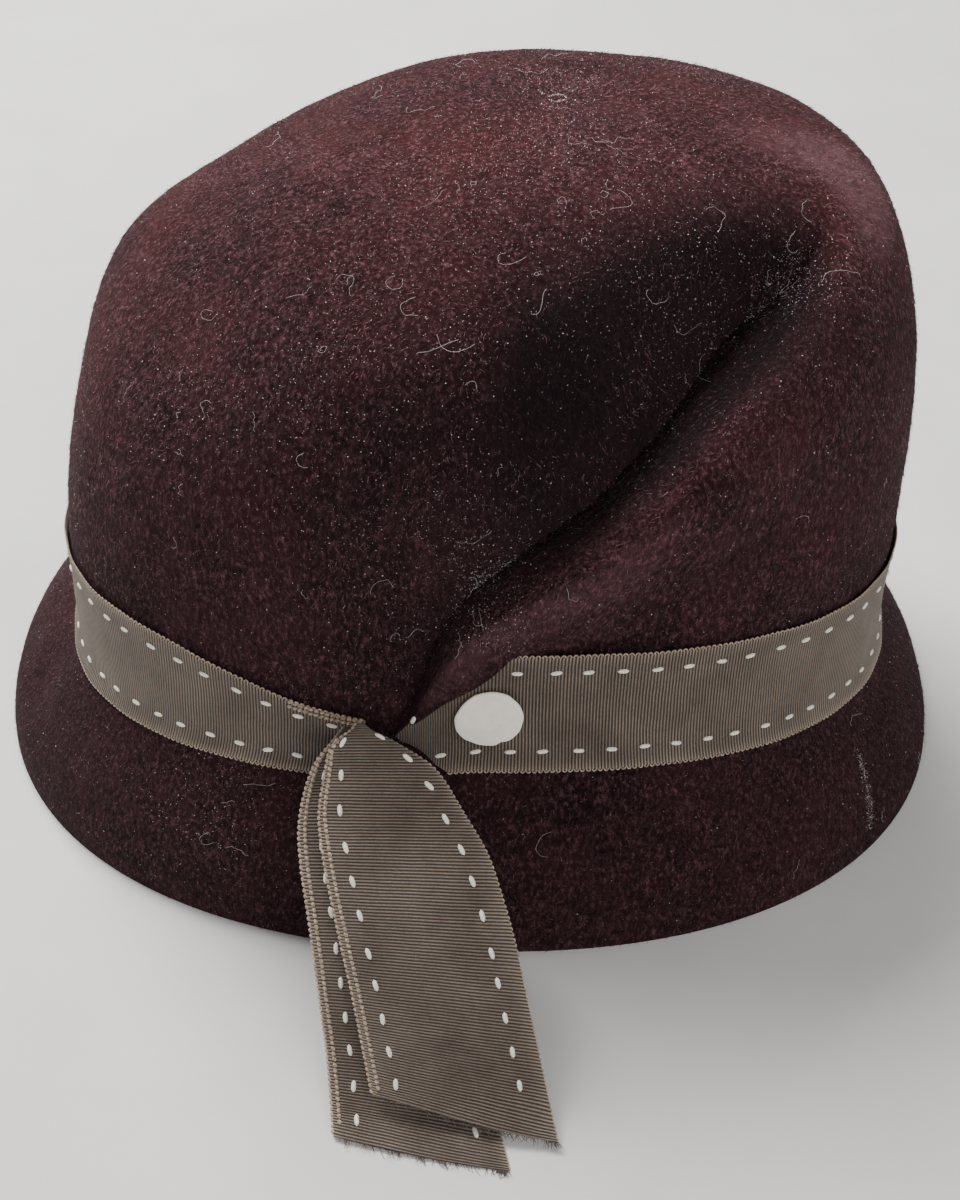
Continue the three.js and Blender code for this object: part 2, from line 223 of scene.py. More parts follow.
tuckNames = ("turn", "rise", "depth", "ridge", "stand", "above", "below")
tuck = np.array([
    (259.5, 4.75, 0.009, 0.012, 0.023, 0.046, 0.040),
    (264.0, 5.25, 0.023, 0.020, 0.032, 0.069, 0.046),
    (270.0, 5.75, 0.038, 0.026, 0.038, 0.092, 0.049),
    (276.0, 6.35, 0.049, 0.029, 0.040, 0.116, 0.055),
    (283.0, 7.10, 0.061, 0.030, 0.046, 0.139, 0.064),
    (290.0, 7.90, 0.069, 0.029, 0.052, 0.162, 0.075),
    (298.0, 8.80, 0.075, 0.025, 0.061, 0.162, 0.087),
    (307.0, 9.50, 0.061, 0.021, 0.069, 0.139, 0.098),
    (317.0, 10.05, 0.032, 0.014, 0.075, 0.116, 0.104),
    (326.0, 10.40, 0.010, 0.006, 0.075, 0.104, 0.104),
    (333.0, 10.60, 0.000, 0.000, 0.075, 0.092, 0.092),
])
tuckRule = {
    "fade": 0.06, "span": 0.36, "steps": 10, "stride": 0.1, "blend": 0.01, "hollow": 1.4,
    "lip": 0.70, "dip": 0.35, "dipAway": 1.9, "lean": 0.85, "pinch": 0.014, "pinchFull": 0.04,
    "pinchReach": 0.013,
}

# turn, rise, reach, depth
dents = np.array([
    (244, 7.6, 0.16, -0.008),
    (258, 6.9, 0.15, 0.016),
    (222, 8.6, 0.18, 0.010),
    (196, 2.0, 0.05, 0.010),
    (60, 8.4, 0.22, 0.014),
    (130, 7.0, 0.20, 0.010),
    (303, 9.6, 0.13, 0.046),
    (312, 10.2, 0.09, 0.020),
    (168, 8.4, 0.14, -0.016),
    (162, 10.6, 0.16, 0.024),
    (335, 8.8, 0.11, 0.010),
])

knot = {"turn": 259.0, "dip": 0.129, "before": 24.0, "after": 5.5, "over": 0.1, "climb": 1.5}


def readTable(rows, names, place, name):
    # smooth curve through one column of a table
    column = rows[:, names.index(name)]
    last = len(column) - 1
    place = np.asarray(place, dtype=float)
    k = np.clip(np.floor(place), 0, last - 1).astype(int)
    t = place - k
    a, b = column[np.clip(k - 1, 0, last)], column[k]
    c, d = column[np.clip(k + 1, 0, last)], column[np.clip(k + 2, 0, last)]
    slopeB, slopeC = (c - a) / 2, (d - b) / 2
    t2, t3 = t * t, t * t * t
    return ((2 * t3 - 3 * t2 + 1) * b + (t3 - 2 * t2 + t) * slopeB
            + (3 * t2 - 2 * t3) * c + (t3 - t2) * slopeC)


def smooth(value):
    value = np.clip(value, 0, 1)
    return value * value * (3 - 2 * value)


def reach(vectors):
    return np.linalg.norm(vectors, axis=-1)


def unit(vectors):
    return vectors / np.maximum(np.linalg.norm(vectors, axis=-1, keepdims=True), 1e-9)


def bareSkin(turn, rise):
    turn, rise = np.broadcast_arrays(np.asarray(turn, float), np.asarray(rise, float))
    c, s = np.cos(np.radians(turn)), np.sin(np.radians(turn))
    power = hood["roundness"]
    swell = (np.abs(c) ** power + np.abs(s) ** power) ** (-1 / power)
    read = lambda name: readTable(sections, sectionNames, rise, name)
    half = hood["length"] / 2
    long = np.maximum(read("len"), 0) * half
    wide = np.maximum(read("wid"), 0) * hood["width"] / 2
    away = (turn - knot["turn"] + 180) % 360 - 180
    side = np.where(away < 0, knot["before"], knot["after"])
    up = rise - hood["bandHead"] - knot["over"]
    near = np.exp(-(away / side) ** 2) * np.exp(-(up / knot["climb"]) ** 2)
    up = read("ends") + (read("sides") - read("ends")) * s * s - knot["dip"] * near
    skew = hood["brimSkew"] * np.maximum(1 - rise / hood["bandFoot"], 0)
    x = c * swell * long + read("runX") * half
    y = s * swell * wide + read("runY") * half - skew * c * swell * long
    return np.stack([x, y, up * hood["height"]], -1)


def bareNormal(turn, rise):
    low = np.maximum(rise - probe["rise"], 0)
    along = bareSkin(turn + probe["turn"], rise) - bareSkin(turn - probe["turn"], rise)
    climb = bareSkin(turn, rise + probe["rise"]) - bareSkin(turn, low)
    normal = unit(np.cross(along, climb))
    top = np.broadcast_to(np.asarray(rise) > topRow - probe["summit"], normal.shape[:-1])
    normal[top] = (0, 0, 1)
    return normal


def tuckAt(place):
    return bareSkin(readTable(tuck, tuckNames, place, "turn"), readTable(tuck, tuckNames, place, "rise"))


tuckPlaces = np.linspace(0, len(tuck) - 1, (len(tuck) - 1) * tuckRule["steps"] + 1)
tuckLine = tuckAt(tuckPlaces)
tuckAhead = tuckAt(np.minimum(tuckPlaces + tuckRule["stride"], len(tuck) - 1))
tuckWays = unit(tuckAhead - tuckAt(np.maximum(tuckPlaces - tuckRule["stride"], 0)))
dentSpots = bareSkin(dents[:, 0], dents[:, 1])


def tuckPlace(point, normal):
    # signed distance from the crease, place along it, distance past its ends,
    # the way across it and the plain distance
    nearest = np.min([reach(point - spot) for spot in tuckLine], axis=0)
    weight, side, place, over = (np.zeros(point.shape[:-1]) for _ in range(4))
    across = np.zeros(point.shape)
    last = len(tuckLine) - 1
    for i, (spot, way, mark) in enumerate(zip(tuckLine, tuckWays, tuckPlaces)):
        gap = point - spot
        share = np.exp((nearest - reach(gap)) / (tuckRule["blend"] * hood["height"]))
        beside = unit(np.cross(way, normal))
        weight += share
        side += share * (gap * beside).sum(-1)
        across += share[..., None] * beside
        place += share * mark
        if i in (0, last):
            over += share * np.maximum((gap @ way) * (1 if i else -1), 0)
    return side / weight, place / weight, over / weight, unit(across), nearest


def tuckDepth(point, normal):
    # a hollow above the crease, a rolled ridge beyond it and a slight dip under the ridge
    tall = hood["height"]
    side, place, over, across, nearest = tuckPlace(point, normal)
    side = side / tall
    read = lambda name: np.maximum(readTable(tuck, tuckNames, place, name), 0)
    depth, ridge, stand, below = (read(name) for name in ("depth", "ridge", "stand", "below"))
    fade = np.exp(-(over / (tuckRule["fade"] * tall)) ** 2 - (nearest / (tuckRule["span"] * tall)) ** 4)
    hollow = -depth * np.exp(-(np.maximum(-side, 0) / read("above")) ** tuckRule["hollow"])
    climb = np.sin(math.pi / 2 * np.clip(side / stand, 0, 1)) ** tuckRule["lip"]
    beyond = np.exp(-((side - stand) / below) ** 2)
    slope = -depth + (depth + ridge) * climb
    push = np.where(side < 0, hollow, np.where(side < stand, slope, ridge * beyond))
    under = np.exp(-((side - stand - tuckRule["dipAway"] * below) / below) ** 2)
    dip = np.where(side > stand, tuckRule["dip"] * ridge, 0) * under
    deep = np.minimum(depth / tuckRule["pinchFull"], 1)
    pinch = tuckRule["pinch"] * deep * np.exp(-(side / tuckRule["pinchReach"]) ** 2)
    lean = tuckRule["lean"] * ridge * np.exp(-((side - stand) / stand) ** 2)
    return (push - dip - pinch) * fade * tall, -across * (lean * fade * tall)[..., None]


def lumps(point, sizes, seed):
    # slow, soft unevenness from a few crossing waves
    made = np.random.default_rng(seed)
    total = np.zeros(point.shape[:-1])
    for size in sizes:
        way = unit(made.normal(size=3))
        shift = made.uniform(0, 6.28)
        total += np.sin(point @ way * (2 * math.pi / size) + shift)
    return total / len(sizes)


def skin(turn, rise, fine=0.0, tucked=1.0):
    point = bareSkin(turn, rise)
    normal = bareNormal(turn, rise)
    rise = np.asarray(rise, float)
    calm = np.clip((rise - uneven["calmFrom"]) / uneven["calmRun"], 0, 1)
    push, lean = tuckDepth(point, normal)
    above = tucked * smooth((rise - hood["ridgeFoot"]) / hood["ridgeRun"])
    push, lean = push * above, lean * above[..., None]
    for spot, row in zip(dentSpots, dents):
        far = reach(point - spot) / (row[2] * hood["height"])
        push = push - row[3] * hood["height"] * np.exp(-far * far)
    if fine:
        ribbonZone = np.exp(-((rise - uneven["ribbonRise"]) / uneven["ribbonReach"]) ** 4)
        free = 1 - uneven["ribbonCalm"] * ribbonZone
        push = push + fine * free * lumps(point, *uneven["slow"])
        push = push + fine * uneven["quickShare"] * free * lumps(point, *uneven["quick"])
    return point + normal * (push * calm)[..., None] + lean * calm[..., None]


def skinNormal(turn, rise, fine=0.0, tucked=1.0):
    aside, apart = probe["skinTurn"], probe["skinRise"]
    along = skin(turn + aside, rise, fine, tucked) - skin(turn - aside, rise, fine, tucked)
    low, high = np.maximum(rise - apart, 0), np.minimum(rise + apart, topRow)
    climb = skin(turn, high, fine, tucked) - skin(turn, low, fine, tucked)
    return unit(np.cross(along, climb))


def columnTurns(count):
    even = 360 * np.arange(count) / count
    return even + np.degrees(hood["crowding"]) * np.sin(np.radians(even - hood["crowdTurn"] + 180))


# painted highlights (paler) and painted shade (darker) on the felt: turn, rise, reach in millimetres and
# strength
paintedLightMarks = (
    (333, 9.85, 10, 0.42),
    (344, 10.1, 10, 0.50),
    (352, 10.5, 10, 0.50),
    (350, 11.0, 11, 0.38),
    (340, 11.6, 12, 0.24),
    (262, 8.2, 38, -0.58),
    (240, 7.4, 24, -0.22),
    (286, 9.9, 28, -0.42),
    (231, 9.0, 9, 0.16),
    (243, 8.3, 8, 0.14),
    (268, 6.6, 12, 0.12),
    (300, 12.6, 26, 0.16),
    (205, 1.6, 32, -0.55),
    (212, 9.4, 26, -0.30),
    (222, 7.6, 12, -0.20),
    (268, 9.6, 12, -0.22),
    (210, 9.2, 12, 0.14),
)


def foldShadeAndHighlight(turn, rise):
    # below zero for painted shade in the hollows, above zero for painted highlight on the rolled ridge
    point, normal = bareSkin(turn, rise), bareNormal(turn, rise)
    push = tuckDepth(point, normal)[0] * smooth((rise - hood["ridgeFoot"]) / hood["ridgeRun"])
    for spot, row in zip(dentSpots[hood["bowls"]], dents[hood["bowls"]]):
        far = reach(point - spot) / (row[2] * hood["height"] * hood["bowlWiden"])
        push = push - row[3] * hood["height"] * np.exp(-far * far)
    amount = push / hood["foldFull"]
    for turn, rise, wide, lift in paintedLightMarks:
        far = reach(point - bareSkin(turn, rise)) / wide
        amount = amount + lift * np.exp(-far * far)
    return amount


hoodTurns = columnTurns(hood["columns"])
hoodRises = np.linspace(hood["footRise"], topRow - hood["topGap"], hood["outerRows"])
hoodOuter = skin(hoodTurns, hoodRises[:, None], hood["ripple"])
hoodAlong = unit(np.roll(hoodOuter, -1, 1) - np.roll(hoodOuter, 1, 1))
hoodNormal = unit(np.cross(hoodAlong, np.gradient(hoodOuter, axis=0)))


def makeHood(finish):
    innerRises = np.linspace(hood["footRise"], topRow - hood["innerTopGap"], hood["innerRows"])
    inner = skin(hoodTurns, innerRises[:, None])
    normal = unit(np.cross(np.roll(inner, -1, 1) - np.roll(inner, 1, 1), np.gradient(inner, axis=0)))
    inner = inner - normal * hood["thick"]
    foot, head = hoodOuter[0], inner[0]
    # the cut edge of the felt, rounded from the outside to the inside
    edge = []
    for step in range(1, hood["edgeSteps"]):
        t = math.pi * step / hood["edgeSteps"]
        middle = (foot + head) / 2
        ring = middle + (foot - middle) * math.cos(t)
        ring[:, 2] = np.maximum(ring[:, 2] * (1 - math.sin(t)), hood["edgeLow"])
        edge.append(ring)
    rows = [*inner[::-1], *edge[::-1], *hoodOuter]
    count = hood["columns"]
    points = np.concatenate(rows)
    faces = gridFaces(len(rows), count, closed=True)
    summit = skin(np.array([0.0]), np.array([float(topRow)]), hood["ripple"])[0]
    hollowTop = summit - (0, 0, hood["thick"])
    points = np.concatenate([points, [summit, hollowTop]])
    last = (len(rows) - 1) * count
    total = len(points)
    for k in range(count):
        n = (k + 1) % count
        faces.append((last + k, last + n, total - 2))
        faces.append((n, k, total - 1))
    piece = meshPiece("feltHood", points, faces, finish, "felt_body")
    # a point attribute of painted shade in the hollows and painted highlight on the ridge
    foldShading = np.zeros(total, dtype=np.float32)
    before = (len(rows) - len(hoodRises)) * count
    foldShading[before:before + hoodRises.size * count] = foldShadeAndHighlight(hoodTurns, hoodRises[:, None]).ravel()
    piece.data.attributes.new("foldShading", "FLOAT", "POINT").data.foreach_set("value", foldShading)
    return piece


# ribbon round the crown

ribbon = {
    "width": 36.0, "thick": 0.55, "lift": 0.42, "rib": 0.78, "edgeLift": 0.5, "wave": 0.18,
    "waves": (23, 9), "waveSlant": 4, "across": 16, "along": 1400, "markTurns": (250, 620),
    "marks": 900, "lineSteps": 720, "tipTurn": 259.2, "tipShare": 0.86, "footTurn": 266.2,
    "headTurn": 268.5, "tipBow": 0.62, "underTuck": 0.15, "leftEnd": 255.5,
}


def bandLift(share):
    # the ribbon stands a little off the felt at both of its edges
    return ribbon["lift"] + ribbon["edgeLift"] * np.abs(2 * share - 1) ** 4


def bandPoint(turn, share):
    rise = hood["bandFoot"] + (hood["bandHead"] - hood["bandFoot"]) * share
    quick, slow = (np.radians(turn) * count for count in ribbon["waves"])
    wave = ribbon["wave"] * np.sin(quick + share * ribbon["waveSlant"]) * np.sin(slow)
    away = bandLift(share) + wave
    settings = (turn, rise, 0.0, ribbon["underTuck"])
    return skin(*settings) + skinNormal(*settings) * away[..., None]


def startTurn(share):
    climb = np.clip(share / ribbon["tipShare"], 0, 1) ** ribbon["tipBow"]
    low = ribbon["footTurn"] + (ribbon["tipTurn"] - ribbon["footTurn"]) * climb
    above = (share - ribbon["tipShare"]) / (1 - ribbon["tipShare"])
    high = ribbon["tipTurn"] + (ribbon["headTurn"] - ribbon["tipTurn"]) * np.sqrt(np.clip(above, 0, 1))
    return np.where(share < ribbon["tipShare"], low, high)


def runLength(points):
    return np.concatenate([[0], np.cumsum(reach(np.diff(points, axis=0)))])


def slab(name, node, surface, rows, columns, finish, runAt=None):
    # a thin cloth with two faces, from a function of two shares
    u, v = np.meshgrid(np.linspace(0, 1, columns), np.linspace(0, 1, rows), indexing="ij")
    middle = surface(u, v)
    normal = unit(np.cross(np.gradient(middle, axis=0), np.gradient(middle, axis=1)))
    half = normal * ribbon["thick"] / 2
    front, back = middle + half, middle - half
    count = rows * columns
    points = np.concatenate([front.reshape(-1, 3), back.reshape(-1, 3)])
    faces = gridFaces(columns, rows, flip=True) + gridFaces(columns, rows, count)
    for i in range(columns - 1):
        for j, turned in ((0, False), (rows - 1, True)):
            a, b = i * rows + j, (i + 1) * rows + j
            quad = (a, b, b + count, a + count)
            faces.append(quad if turned else quad[::-1])
    for j in range(rows - 1):
        for i, turned in ((0, True), (columns - 1, False)):
            a, b = i * rows + j, i * rows + j + 1
            quad = (a, b, b + count, a + count)
            faces.append(quad if turned else quad[::-1])
    run = runAt(u, v) if runAt else runLength(middle[:, rows // 2])[:, None] + 0 * v
    flat = np.stack([run / 1000, v * ribbon["width"] / 1000], -1).reshape(-1, 2)
    return meshPiece(name, points, faces, finish, node, uv=np.concatenate([flat, flat]))


def bandTurn(u, v):
    start = startTurn(v)
    return start + (360 + ribbon["leftEnd"] - start) * u


def bandSurface(u, v):
    return bandPoint(bandTurn(u, v), v)


bandMarks = np.linspace(*ribbon["markTurns"], ribbon["marks"])
bandRuns = runLength(bandPoint(bandMarks, np.full(ribbon["marks"], 0.5)))


def bandRun(u, v):
    # length along the ribbon's middle, so that the ribs stay square to its edges
    return np.interp(bandTurn(u, v), bandMarks, bandRuns)


bandLine = bandSurface(np.linspace(0, 1, ribbon["lineSteps"]), np.full(ribbon["lineSteps"], 0.5))
bandLong = runLength(bandLine)[-1]


# the two tails

tailNames = ("out", "up", "left", "right")
frontRun = np.array([
    (0.788, 0.3660, -0.68, -0.64),
    (0.812, 0.3673, -0.72, -0.58),
    (0.832, 0.3675, -0.78, -0.49),
    (0.858, 0.3629, -0.84, -0.37),
    (0.880, 0.3513, -0.86, -0.24),
    (0.902, 0.3330, -0.88, -0.14),
    (0.965, 0.3015, -0.91, 0.00),
    (1.042, 0.2765, -0.88, 0.14),
    (1.114, 0.2415, -0.83, 0.23),
    (1.186, 0.1985, -0.77, 0.31),
    (1.262, 0.1445, -0.70, 0.38),
    (1.334, 0.0875, -0.64, 0.45),
    (1.410, 0.0345, -0.58, 0.52),
    (1.500, 0.0040, -0.52, 0.58),
])
backRun = np.array([
    (0.770, 0.346, -0.78, -0.71),
    (0.812, 0.351, -0.83, -0.65),
    (0.842, 0.350, -0.88, -0.55),
    (0.866, 0.335, -0.95, -0.45),
    (0.902, 0.300, -1.02, -0.22),
    (0.970, 0.274, -1.05, -0.10),
    (1.044, 0.247, -1.03, -0.03),
    (1.116, 0.212, -0.99, 0.01),
    (1.188, 0.169, -0.95, 0.05),
    (1.264, 0.115, -0.91, 0.09),
    (1.340, 0.058, -0.87, 0.13),
    (1.434, 0.013, -0.84, 0.19),
    (1.574, 0.000, -0.80, 0.28),
])
tails = {
    "tailFront": {"run": frontRun, "node": "tail_front", "slant": 0.077, "crown": 0.05, "layers": 2},
    "tailBack": {"run": backRun, "node": "tail_back", "slant": 0.05, "crown": 0.03, "layers": 1},
}
tailCloth = {
    "layer": 1.3, "gap": 0.3, "flatBelow": 0.1, "bow": (0.6, 0.8), "inward": (0, -0.5, 0.45),
    "sunk": 0.9, "curl": 0.5, "curlTurns": (9, 2), "curlWay": (0, -0.35, 0.6), "rows": 22,
    "columns": 240, "lineSteps": 80, "lineShare": 0.6,
}


def tailPoint(tail, place, share):
    read = lambda name: readTable(tail["run"], tailNames, place, name)
    out = read("out") * hood["width"] / 2 + tailCloth["gap"] + tail["layers"] * tailCloth["layer"]
    up = read("up") * hood["height"]
    rest = (tail["layers"] - 1) * tailCloth["layer"]
    left, right = read("left") * ribbon["width"], read("right") * ribbon["width"]
    calm = np.minimum(up / (tailCloth["flatBelow"] * hood["height"]), 1)
    bow = tail["crown"] * ribbon["width"] * (1 - (2 * share - 1) ** 2) * calm
    forward, upward = tailCloth["bow"]
    return np.stack([left + (right - left) * share, -out - bow * forward, up + rest + bow * upward], -1)


def tailSurface(tail):
    def surface(u, v):
        cut = 1 - tail["slant"] * (1 - v) * u ** 3
        place = u * (len(tail["run"]) - 1) * cut
        point = tailPoint(tail, place, v)
        # the cloth runs through the middle of the solid's thickness
        point = point + np.array(tailCloth["inward"]) * tailCloth["sunk"]
        long, wide = tailCloth["curlTurns"]
        curl = tailCloth["curl"] * np.sin(u * long + v * wide) * (v - 0.5) * u
        return point + np.array(tailCloth["curlWay"]) * curl[..., None]
    return surface


def makeTail(name, finish):
    tail = tails[name]
    surface = tailSurface(tail)
    steps = tailCloth["lineSteps"]
    line = surface(np.linspace(0, 1, steps), np.full(steps, tailCloth["lineShare"]))
    piece = slab(name, tail["node"], surface, tailCloth["rows"], tailCloth["columns"], finish)
    return piece, runLength(line)[-1]


# stitches and edge loops are small rounded beads laid along a line

strayDice = np.random.default_rng(31)
beadPower = 2.6
shareStep = 0.02


def beads(name, centres, along, outward, size, finish, sides=8, rings=5):
    long, wide, high = size
    beside = unit(np.cross(outward, along))
    points, faces = [], []
    angles = np.linspace(0, 2 * math.pi, sides, endpoint=False)
    lifts = np.linspace(-1, 1, rings + 2)[1:-1]
    for centre, a, b, c in zip(centres, along, beside, outward):
        start = len(points)
        for lift in lifts:
            girth = math.sqrt(max(1 - abs(lift) ** beadPower, 0))
            for angle in angles:
                points.append(centre + a * lift * long / 2 + b * math.cos(angle) * girth * wide / 2
                              + c * math.sin(angle) * girth * high / 2)
        points.extend([centre - a * long / 2, centre + a * long / 2])
        for j in range(rings - 1):
            for k in range(sides):
                n = (k + 1) % sides
                p, q = start + j * sides + k, start + j * sides + n
                faces.append((p, q, q + sides, p + sides))
        ends = start + rings * sides
        last = start + (rings - 1) * sides
        for k in range(sides):
            n = (k + 1) % sides
            faces.append((start + n, start + k, ends))
            faces.append((last + k, last + n, ends + 1))
    return meshPiece(name, np.array(points), faces, finish)


def tubes(name, paths, outward, radius, finish, sides=5):
    # round strands along many paths with the same number of places
    along = unit(np.gradient(paths, axis=1))
    beside = unit(np.cross(outward, along))
    over = np.cross(along, beside)
    angle = np.linspace(0, 2 * math.pi, sides, endpoint=False)
    ring = np.cos(angle)[:, None] * beside[:, :, None] + np.sin(angle)[:, None] * over[:, :, None]
    points = paths[:, :, None] + ring * np.asarray(radius)[..., None, None]
    count, places = paths.shape[:2]
    j, k = np.meshgrid(np.arange(places - 1), np.arange(sides), indexing="ij")
    n = (k + 1) % sides
    wall = np.stack([j * sides + k, j * sides + n, (j + 1) * sides + n, (j + 1) * sides + k], -1)
    starts = np.arange(count) * places * sides
    faces = (starts[:, None, None] + wall.reshape(-1, 4)).reshape(-1, 4).tolist()
    foot = np.arange(sides)[::-1]
    faces += (starts[:, None] + foot).tolist()
    faces += (starts[:, None] + (places - 1) * sides + foot[::-1]).tolist()
    return meshPiece(name, points.reshape(-1, 3), faces, finish)


def lineFrame(points, outward):
    along = unit(np.gradient(points, axis=0))
    return along, unit(outward - (outward * along).sum(-1, keepdims=True) * along)


def spread(line, pitch, start, end, outward, stray=0.0):
    # spaced places on a line, with their directions
    length = runLength(line)
    marks = np.arange(start, length[-1] - end, pitch)
    marks = marks + strayDice.normal(size=len(marks)) * pitch * stray
    take = lambda values: np.stack([np.interp(marks, length, values[:, i]) for i in range(3)], -1)
    along, out = lineFrame(line, outward)
    return take(line), unit(take(along)), unit(take(out))


def edgeward(surface, u, v):
    return surface(u, np.minimum(v + shareStep, 1)) - surface(u, np.maximum(v - shareStep, 0))


def surfaceLine(surface, v, steps, start=0.0, end=1.0):
    u = np.linspace(start, end, steps)
    share = np.full(steps, v)
    line = surface(u, share)
    beside = edgeward(surface, u, share)
    along = np.gradient(line, axis=0)
    return line, unit(np.cross(along, beside))


# finishes

def feltColours(felt, place):
    patch = felt.span(felt.noise(place, 30, 5, 0.62), 0.38, 0.64)
    brushed = felt.span(felt.noise(place, 6.5, 5, 0.7), 0.36, 0.66)
    # painted light: the felt is painted lighter and redder towards the top, where light falls from above
    height = felt.span(felt.part(place, 2), 0.075, 0.168)
    lowShadeColour = felt.mix(patch, (0.0034, 0.0016, 0.0022), (0.0200, 0.0066, 0.0082))
    topLightColour = felt.mix(patch, (0.0095, 0.0024, 0.0026), (0.052, 0.0110, 0.0106))
    return felt.mix(height, lowShadeColour, topLightColour), patch, brushed, height


def feltFinish():
    felt = Finish("velourFelt", {
        "Roughness": 0.94,
        "Sheen Weight": 0.06,
        "Sheen Roughness": 0.30,
        "Sheen Tint": (0.85, 0.42, 0.45, 1.0),
        "Specular IOR Level": 0.08,
    })
    place = felt.place()
    ground, patch, brushed, height = feltColours(felt, place)
    foldShading = felt.add("ShaderNodeAttribute", {"attribute_name": "foldShading"}, None, 2)
    # painted shade: near black is mixed in where the fold amount is low, in the hollows and under the dark
    # marks
    hollow = felt.span(foldShading, -0.10, -0.95)
    # painted highlight: a paler colour is mixed in where the fold amount is high, along the rolled ridge
    # and the pale marks
    ridgeHighlight = felt.span(foldShading, 0.06, 0.42)
    fibre = felt.span(felt.noise(place, 0.95, 6, 0.80, (1.0, 1.0, 0.45)), 0.42, 0.62)
    rough = felt.span(felt.noise(place, 2.4, 6, 0.8), 0.40, 0.64)
    # the brushed and fibre lightening grows towards the top as painted light from above
    brushedAndTopLight = felt.mix(brushed * rough * (height * 0.45 + 0.40), ground, (0.080, 0.029, 0.034))
    fibreAndTopLight = felt.mix(fibre ** 2.6 * (height * 0.45 + 0.50), brushedAndTopLight, (0.205, 0.092, 0.105))
    shadowed = felt.mix(hollow * 0.88, fibreAndTopLight, (0.0060, 0.0048, 0.0062))
    highlighted = felt.mix(ridgeHighlight * (rough * 0.55 + 0.30), shadowed, (0.190, 0.092, 0.104))
    dust = felt.span(felt.noise(place, 0.42, 2, 0.5), 0.715, 0.765)
    felt.shade("Base Color", felt.mix(dust * 0.85, highlighted, (0.52, 0.40, 0.39)))
    felt.bump(fibre * 0.55 + rough * 0.35 + brushed * 0.35 + patch * 0.3, 0.6, 0.85)
    return felt


def napFinish(name, dark, light):
    nap = Finish(name, {"Roughness": 0.8, "Sheen Weight": 0.18, "Specular IOR Level": 0.2})
    place = nap.place()
    tone = nap.span(nap.noise(place, 1.3, 3, 0.7), 0.34, 0.68)
    nap.shade("Base Color", nap.mix(tone, dark, light))
    nap.shade("Roughness", nap.span(tone, 0.0, 1.0, 0.9, 0.65))
    return nap


def ribbonFinish():
    cloth = Finish("ribbedGrosgrain", {
        "Roughness": 0.72,
        "Sheen Weight": 0.25,
        "Sheen Roughness": 0.4,
        "Sheen Tint": (0.8, 0.72, 0.62, 1.0),
        "Specular IOR Level": 0.25,
    })
    flat = cloth.cloth()
    along = cloth.part(flat, 0) * 1000
    across = cloth.part(flat, 1) * 1000
    place = cloth.place()
    drift = cloth.noise(place, 14, 3) * 0.5
    ribs = ((along + drift) * (2 * math.pi / ribbon["rib"])).sine() * 0.5 + 0.5
    weft = (across * (2 * math.pi / 0.42)).sine() * 0.5 + 0.5
    wear = cloth.span(cloth.noise(place, 13, 5, 0.65), 0.32, 0.68)
    grain = cloth.span(cloth.noise(place, 0.55, 4, 0.7), 0.3, 0.7)
    dark = cloth.mix(wear, (0.017, 0.013, 0.011), (0.030, 0.024, 0.021))
    light = cloth.mix(wear, (0.184, 0.138, 0.108), (0.300, 0.234, 0.188))
    tone = cloth.mix(ribs ** 1.15 * (grain * 0.45 + 0.55), dark, light)
    margin = ((across / ribbon["width"] - 0.5).size() * 2) ** 16
    tone = cloth.mix(margin * ribs * 0.7, tone, (0.46, 0.36, 0.27))
    dust = cloth.span(cloth.noise(place, 0.5, 2, 0.5), 0.73, 0.80)
    tone = cloth.mix(dust * 0.5, tone, (0.40, 0.37, 0.33))
    cloth.shade("Base Color", tone)
    cloth.bump(ribs + weft * 0.12 + grain * 0.15, 0.26, 0.95)
    return cloth


def threadFinish(name, colour, deep, size=0.5):
    thread = Finish(name, {"Roughness": 0.62, "Sheen Weight": 0.2, "Specular IOR Level": 0.3})
    twist = thread.span(thread.noise(thread.place(), size, 3), 0.35, 0.65)
    thread.shade("Base Color", thread.mix(twist, deep, colour))
    thread.bump(twist, 0.12, 0.6)
    return thread


def discFinish():
    disc = Finish("paleDisc", {"Roughness": 0.78, "Specular IOR Level": 0.25, "Sheen Weight": 0.1})
    place = disc.place()
    cloud = disc.span(disc.noise(place, 3.5, 5, 0.65), 0.3, 0.7)
    fleck = disc.span(disc.noise(place, 0.7, 3, 0.6), 0.66, 0.74)
    ground = disc.mix(cloud, (0.78, 0.73, 0.64), (0.88, 0.84, 0.75))
    disc.shade("Base Color", disc.mix(fleck * 0.55, ground, (0.24, 0.20, 0.16)))
    disc.bump(cloud * 0.6 + fleck * -0.5, 0.2, 0.6)
    return disc


felt = feltFinish()
frayThread = threadFinish("brownFray", (0.110, 0.078, 0.056), (0.030, 0.021, 0.016))
lintFinish = threadFinish("paleLint", (0.80, 0.74, 0.72), (0.46, 0.40, 0.40))
grosgrain = ribbonFinish()
stitchThread = threadFinish("creamStitch", (0.93, 0.90, 0.82), (0.74, 0.69, 0.60))
picotThread = threadFinish("tanPicot", (0.50, 0.39, 0.29), (0.20, 0.15, 0.11))

hoodPiece = makeHood(felt)
print("hood made", len(hoodPiece.data.polygons))


# nap of the felt: short hairs lying close to the surface

nap = {
    "low": {"seed": 11, "count": 60000, "length": (0.8, 1.9), "wide": 0.095, "tilt": 0.26},
    "pale": {"seed": 12, "count": 60000, "length": (0.6, 1.7), "wide": 0.095, "tilt": 0.36},
    "comb": -1.9,
    "swirl": 1.3,
    "waves": ((46, 61, 38, 53), 3),
    "stray": 0.55,
    "leastTilt": 0.08,
    "clear": (2.9, 5.12),
    "tailSide": (-37.0, 8.0),
}


def hoodCell(turn, rise):
    circle = np.append(hoodTurns, hoodTurns[0] + 360)
    wrapped = (turn - hoodTurns[0]) % 360 + hoodTurns[0]
    column = np.interp(wrapped, circle, np.arange(len(circle)))
    return column, np.interp(rise, hoodRises, np.arange(len(hoodRises)))


